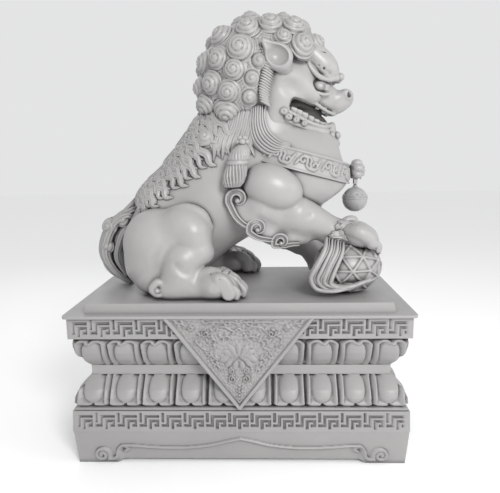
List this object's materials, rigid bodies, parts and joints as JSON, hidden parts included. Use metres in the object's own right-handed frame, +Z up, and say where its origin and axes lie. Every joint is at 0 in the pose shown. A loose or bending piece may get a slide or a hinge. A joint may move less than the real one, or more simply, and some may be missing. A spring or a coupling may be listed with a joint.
{
  "type": "guardian lion statue",
  "caption": "Seated guardian lion with a curled mane, its forepaw on an embroidered ball and a bell at its collar, on a tiered lotus pedestal.",
  "frame": {"origin": "centre of the pedestal's base, on the floor", "axes": "+Z up; the lion faces +X; its right side, the side with the ball, is towards -Y"},
  "size_m": [0.492, 0.2808, 0.6538],
  "materials": {
    "pedestal_finish": "satin",
    "figure_finish": "satin",
    "bell_finish": "satin"
  },
  "bodies": {
    "pedestal": {"pedestal_foot": "pedestal_finish", "lower_fret_band": "pedestal_finish", "lower_lotus_course": "pedestal_finish", "waist_course": "pedestal_finish", "upper_lotus_course": "pedestal_finish", "upper_fret_band": "pedestal_finish", "pedestal_deck": "pedestal_finish", "altar_cloth_front": "pedestal_finish", "altar_cloth_back": "pedestal_finish", "altar_cloth_right": "pedestal_finish", "altar_cloth_left": "pedestal_finish"},
    "lion": {"figure_slab": "figure_finish", "torso": "figure_finish", "right_hind_leg": "figure_finish", "left_hind_leg": "figure_finish", "right_foreleg": "figure_finish", "left_foreleg": "figure_finish", "right_leg_scrolls": "figure_finish", "left_leg_scrolls": "figure_finish", "embroidered_ball": "figure_finish", "ball_ribbon": "figure_finish", "head": "figure_finish", "lower_jaw": "figure_finish", "tongue": "figure_finish", "lower_teeth": "figure_finish", "eyes": "figure_finish", "brows": "figure_finish", "right_ear": "figure_finish", "left_ear": "figure_finish", "beard": "figure_finish", "mane_core": "figure_finish", "mane_curls": "figure_finish", "back_hair": "figure_finish", "tail": "figure_finish", "collar": "figure_finish", "collar_flower": "figure_finish", "right_tassel": "figure_finish", "left_tassel": "figure_finish", "bell_pin": "bell_finish"},
    "bell": {"bell": "bell_finish"}
  },
  "joints": [
    {"name": "figure_lift", "type": "slide", "parent": "pedestal", "child": "lion", "axis": [0, 0, 1], "range_m": [0, 0.06]},
    {"name": "bell_swing", "type": "hinge", "parent": "lion", "child": "bell", "pos_m": [0.18, 0, 0.3981], "axis": [0, 1, 0], "range_deg": [-60, 16]}
  ]
}
